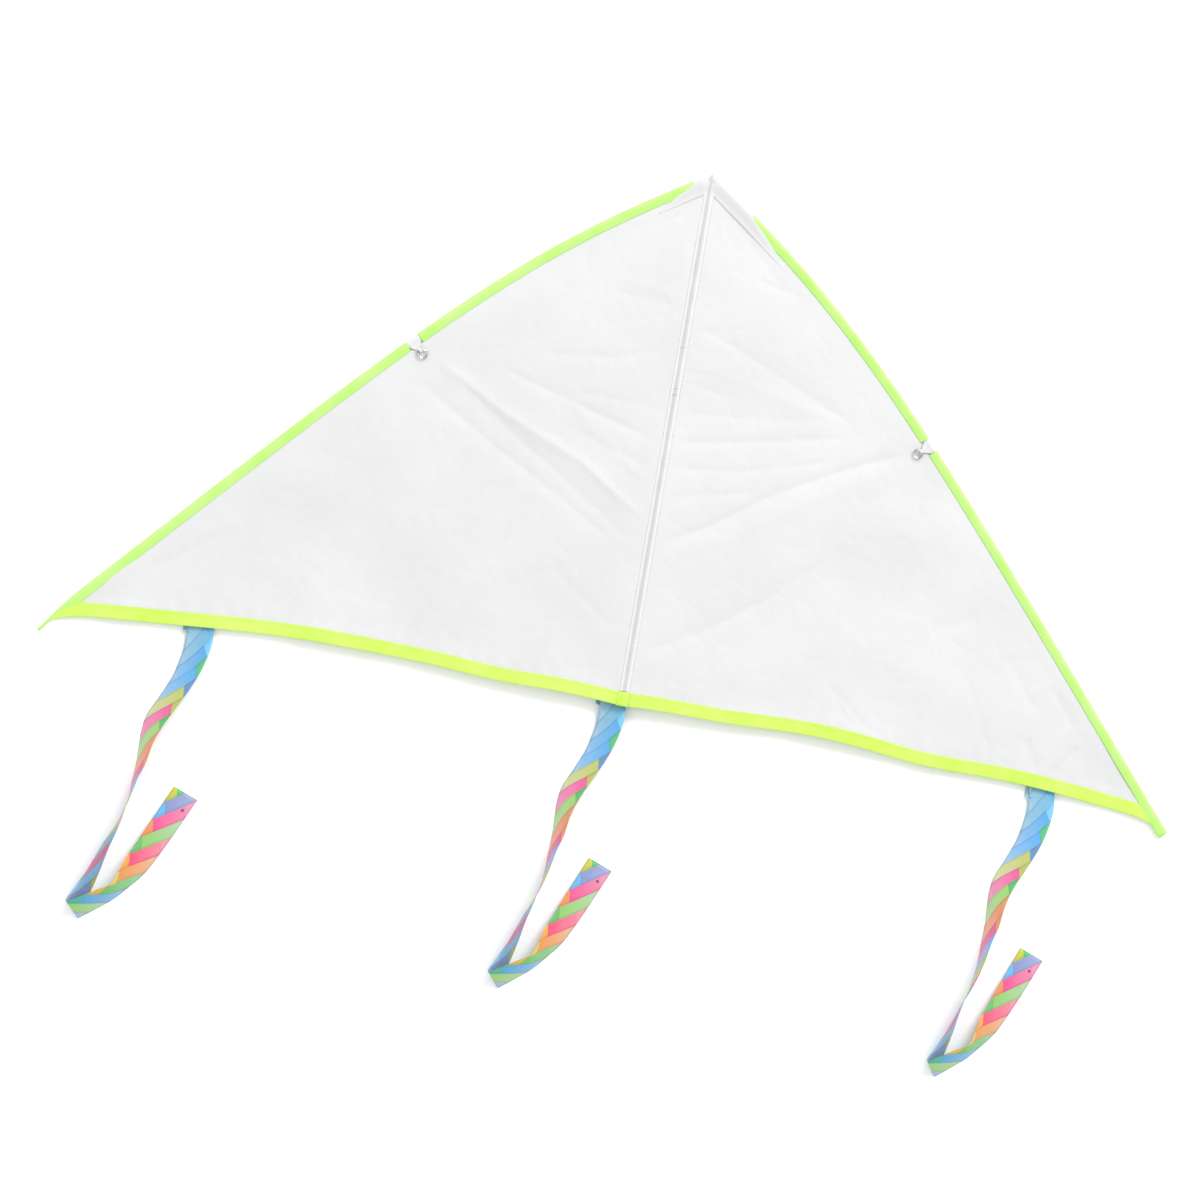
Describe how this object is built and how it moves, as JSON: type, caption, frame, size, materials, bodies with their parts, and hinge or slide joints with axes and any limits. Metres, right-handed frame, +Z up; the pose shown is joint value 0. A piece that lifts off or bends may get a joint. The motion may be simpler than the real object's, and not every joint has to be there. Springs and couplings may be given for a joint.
{
  "type": "delta kite",
  "caption": "Flat delta kite with a white cloth sail, bright taped edges, rods in sewn sleeves, a rear spreader and printed ribbon tails; its wings fold up about the spine.",
  "frame": {"origin": "on the underside of the centre connector, where the spreader crosses the spine, on the surface the kite lies on", "axes": "+X towards the right wing tip, +Y towards the nose, +Z up out of the sail's face"},
  "size_m": [1.0944, 0.8129, 0.0252],
  "materials": {
    "sail_cloth": "thin white woven polyester, slightly translucent, softly creased",
    "edge_tape": "fluorescent yellow-green woven binding tape, satin",
    "webbing": "pale grey-white ribbed webbing",
    "printed_ribbon": "satin ribbon with a printed many-coloured chevron braid",
    "fibreglass": "dark fibreglass rod",
    "black_plastic": "moulded black plastic",
    "black_vinyl": "soft black vinyl cap",
    "ring_steel": "bright plated steel wire",
    "snap_metal": "dark plated metal"
  },
  "bodies": {
    "root": {"spine_pocket": "sail_cloth", "trailing_tape_centre": "edge_tape", "spine_rod": "fibreglass", "spine_nose_cap": "black_vinyl", "spine_tail_cap": "black_vinyl", "centre_connector": "black_plastic", "spreader_rod": "fibreglass", "spreader_cap_left": "black_vinyl", "spreader_cap_right": "black_vinyl", "hem_snap_centre": "snap_metal"},
    "wing_left": {"sail_left": "sail_cloth", "nose_cap_left": "sail_cloth", "leading_tape_upper_left": "edge_tape", "leading_tape_lower_left": "edge_tape", "trailing_tape_left": "edge_tape", "leading_rod_left": "fibreglass", "leading_rod_nose_cap_left": "black_vinyl", "leading_rod_tip_cap_left": "black_vinyl", "webbing_tab_left": "webbing", "spreader_socket_left": "black_plastic", "hem_snap_left": "snap_metal"},
    "wing_right": {"sail_right": "sail_cloth", "nose_cap_right": "sail_cloth", "leading_tape_upper_right": "edge_tape", "leading_tape_lower_right": "edge_tape", "trailing_tape_right": "edge_tape", "leading_rod_right": "fibreglass", "leading_rod_nose_cap_right": "black_vinyl", "leading_rod_tip_cap_right": "black_vinyl", "webbing_tab_right": "webbing", "spreader_socket_right": "black_plastic", "hem_snap_right": "snap_metal"},
    "ring_left": {"ring_left": "ring_steel"},
    "ring_right": {"ring_right": "ring_steel"},
    "tail_left": {"tail_ribbon_left": "printed_ribbon", "tail_snap_left": "snap_metal", "tail_eyelet_left": "snap_metal"},
    "tail_centre": {"tail_ribbon_centre": "printed_ribbon", "tail_snap_centre": "snap_metal", "tail_eyelet_centre": "snap_metal"},
    "tail_right": {"tail_ribbon_right": "printed_ribbon", "tail_snap_right": "snap_metal", "tail_eyelet_right": "snap_metal"}
  },
  "joints": [
    {"name": "wing_fold_left", "type": "hinge", "parent": "root", "child": "wing_left", "pos_m": [-0.005, 0, 0.013], "axis": [0, 1, 0], "range_deg": [0, 80]},
    {"name": "wing_fold_right", "type": "hinge", "parent": "root", "child": "wing_right", "pos_m": [0.005, 0, 0.013], "axis": [0, -1, 0], "range_deg": [0, 80]},
    {"name": "tail_swing_left", "type": "hinge", "parent": "wing_left", "child": "tail_left", "pos_m": [-0.402, -0.30271, 0.0039], "axis": [0, 0, 1], "range_deg": [-20, 20]},
    {"name": "tail_swing_centre", "type": "hinge", "parent": "root", "child": "tail_centre", "pos_m": [0, -0.30015, 0.0067], "axis": [0, 0, 1], "range_deg": [-20, 20]},
    {"name": "tail_swing_right", "type": "hinge", "parent": "wing_right", "child": "tail_right", "pos_m": [0.418, -0.30327, 0.0039], "axis": [0, 0, 1], "range_deg": [-20, 20]},
    {"name": "ring_flip_left", "type": "hinge", "parent": "wing_left", "child": "ring_left", "pos_m": [-0.24712, -0.0098, 0.01131], "axis": [-0.685, -0.7284, -0.0114], "range_deg": [0, 100]},
    {"name": "ring_flip_right", "type": "hinge", "parent": "wing_right", "child": "ring_right", "pos_m": [0.24712, -0.0098, 0.01131], "axis": [-0.685, 0.7284, 0.0114], "range_deg": [0, 100]}
  ]
}
